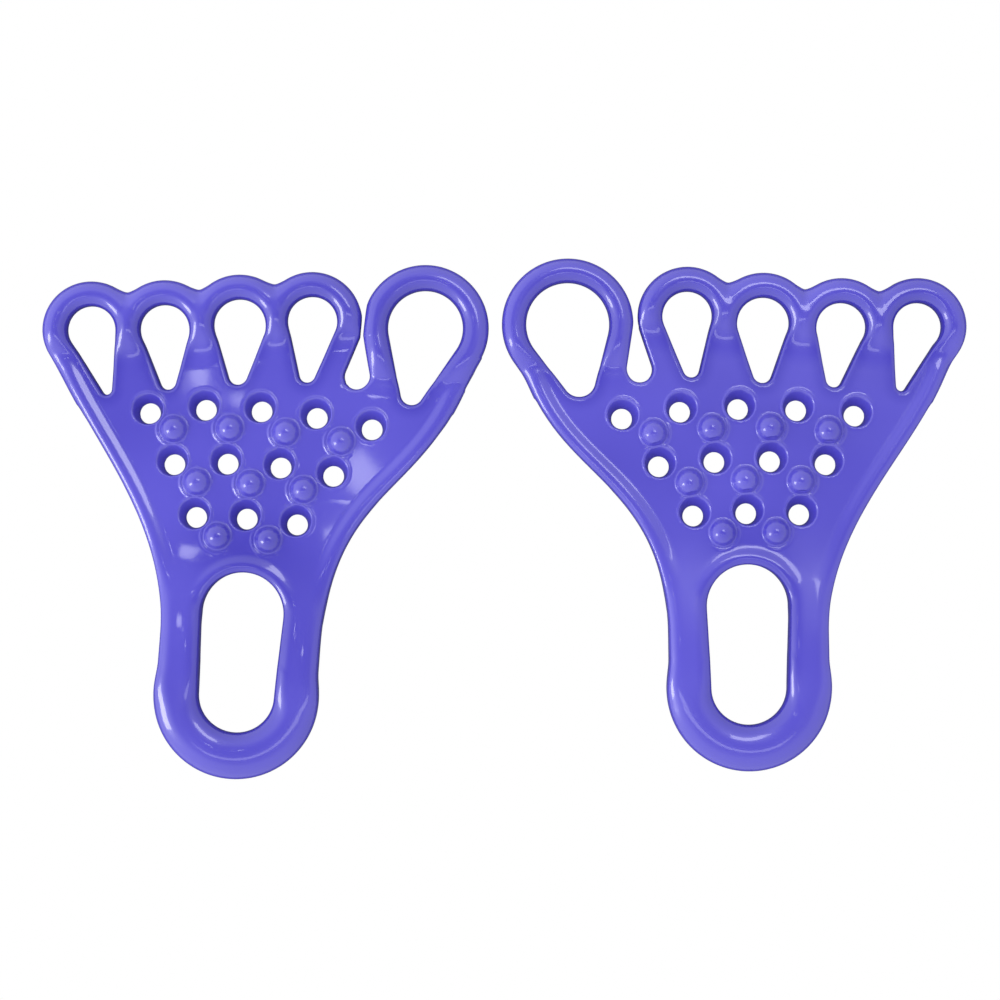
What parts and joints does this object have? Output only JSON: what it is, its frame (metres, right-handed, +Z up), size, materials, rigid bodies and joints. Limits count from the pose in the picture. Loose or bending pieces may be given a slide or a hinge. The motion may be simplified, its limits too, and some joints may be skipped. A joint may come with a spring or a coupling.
{
  "type": "finger exerciser pair",
  "caption": "Pair of mirrored flat elastomer finger exercisers: perforated palm pad with domed nubs, finger loops along the top and a long pull handle below.",
  "frame": {"origin": "centre of the pair's outline on the table plane, between the two exercisers", "axes": "+X from the left exerciser to the right one, +Y from the handles towards the finger loops, +Z up from the table, on the side with the nubs"},
  "size_m": [0.2927, 0.1649, 0.009],
  "materials": {
    "elastomer": "glossy soft elastomer, blue-violet, slightly translucent"
  },
  "bodies": {
    "left_palm": {"left_palm_pad": "elastomer", "left_massage_nubs": "elastomer"},
    "left_little": {"left_little_loop": "elastomer"},
    "left_ring": {"left_ring_loop": "elastomer"},
    "left_middle": {"left_middle_loop": "elastomer"},
    "left_index": {"left_index_loop": "elastomer"},
    "left_thumb": {"left_thumb_loop": "elastomer"},
    "left_handle": {"left_handle_outer_cord": "elastomer", "left_handle_inner_cord": "elastomer"},
    "left_grip": {"left_handle_grip": "elastomer"},
    "right_palm": {"right_palm_pad": "elastomer", "right_massage_nubs": "elastomer"},
    "right_little": {"right_little_loop": "elastomer"},
    "right_ring": {"right_ring_loop": "elastomer"},
    "right_middle": {"right_middle_loop": "elastomer"},
    "right_index": {"right_index_loop": "elastomer"},
    "right_thumb": {"right_thumb_loop": "elastomer"},
    "right_handle": {"right_handle_outer_cord": "elastomer", "right_handle_inner_cord": "elastomer"},
    "right_grip": {"right_handle_grip": "elastomer"}
  },
  "joints": [
    {"name": "left_middle_bend", "type": "hinge", "parent": "left_palm", "child": "left_middle", "pos_m": [-0.07714, 0.04975, 0.004], "axis": [0.9973, 0.0732, 0], "range_deg": [-60, 60], "stiffness_Nm_per_rad": 0.05},
    {"name": "left_little_bend", "type": "hinge", "parent": "left_palm", "child": "left_little", "pos_m": [-0.07714, 0.04975, 0.004], "axis": [0.9973, 0.0732, 0], "range_deg": [-60, 60], "stiffness_Nm_per_rad": 0.05},
    {"name": "left_ring_bend", "type": "hinge", "parent": "left_palm", "child": "left_ring", "pos_m": [-0.07714, 0.04975, 0.004], "axis": [0.9973, 0.0732, 0], "range_deg": [-60, 60], "stiffness_Nm_per_rad": 0.05},
    {"name": "left_index_bend", "type": "hinge", "parent": "left_palm", "child": "left_index", "pos_m": [-0.07714, 0.04975, 0.004], "axis": [0.9973, 0.0732, 0], "range_deg": [-60, 60], "stiffness_Nm_per_rad": 0.05},
    {"name": "left_thumb_bend", "type": "hinge", "parent": "left_palm", "child": "left_thumb", "pos_m": [-0.02731, 0.04559, 0.004], "axis": [0.9973, 0.0732, 0], "range_deg": [-60, 60], "stiffness_Nm_per_rad": 0.08},
    {"name": "left_handle_bend", "type": "hinge", "parent": "left_palm", "child": "left_handle", "pos_m": [-0.08288, -0.02834, 0.0045], "axis": [-0.9973, 0.0732, 0], "range_deg": [-60, 60], "stiffness_Nm_per_rad": 0.15},
    {"name": "left_grip_stretch", "type": "slide", "parent": "left_handle", "child": "left_grip", "axis": [-0.0732, -0.9973, 0], "range_m": [0, 0.015], "stiffness_N_per_m": 1000},
    {"name": "right_middle_bend", "type": "hinge", "parent": "right_palm", "child": "right_middle", "pos_m": [0.07618, 0.05159, 0.004], "axis": [0.9969, -0.0785, 0], "range_deg": [-60, 60], "stiffness_Nm_per_rad": 0.05},
    {"name": "right_little_bend", "type": "hinge", "parent": "right_palm", "child": "right_little", "pos_m": [0.07618, 0.05159, 0.004], "axis": [0.9969, -0.0785, 0], "range_deg": [-60, 60], "stiffness_Nm_per_rad": 0.05},
    {"name": "right_ring_bend", "type": "hinge", "parent": "right_palm", "child": "right_ring", "pos_m": [0.07618, 0.05159, 0.004], "axis": [0.9969, -0.0785, 0], "range_deg": [-60, 60], "stiffness_Nm_per_rad": 0.05},
    {"name": "right_index_bend", "type": "hinge", "parent": "right_palm", "child": "right_index", "pos_m": [0.07618, 0.05159, 0.004], "axis": [0.9969, -0.0785, 0], "range_deg": [-60, 60], "stiffness_Nm_per_rad": 0.05},
    {"name": "right_thumb_bend", "type": "hinge", "parent": "right_palm", "child": "right_thumb", "pos_m": [0.02621, 0.04938, 0.004], "axis": [0.9969, -0.0785, 0], "range_deg": [-60, 60], "stiffness_Nm_per_rad": 0.08},
    {"name": "right_handle_bend", "type": "hinge", "parent": "right_palm", "child": "right_handle", "pos_m": [0.07713, -0.0258, 0.0045], "axis": [-0.9999, -0.0122, 0], "range_deg": [-60, 60], "stiffness_Nm_per_rad": 0.15},
    {"name": "right_grip_stretch", "type": "slide", "parent": "right_handle", "child": "right_grip", "axis": [0.0122, -0.9999, 0], "range_m": [0, 0.015], "stiffness_N_per_m": 1000},
    {"name": "pair_spacing", "type": "slide", "parent": "left_palm", "child": "right_palm", "axis": [1, 0, 0], "range_m": [0, 0.05]}
  ],
  "couplings": [
    {"joint": "left_little_bend", "follows": "left_middle_bend", "ratio": 1},
    {"joint": "left_ring_bend", "follows": "left_middle_bend", "ratio": 1},
    {"joint": "left_index_bend", "follows": "left_middle_bend", "ratio": 1},
    {"joint": "right_little_bend", "follows": "right_middle_bend", "ratio": 1},
    {"joint": "right_ring_bend", "follows": "right_middle_bend", "ratio": 1},
    {"joint": "right_index_bend", "follows": "right_middle_bend", "ratio": 1}
  ]
}
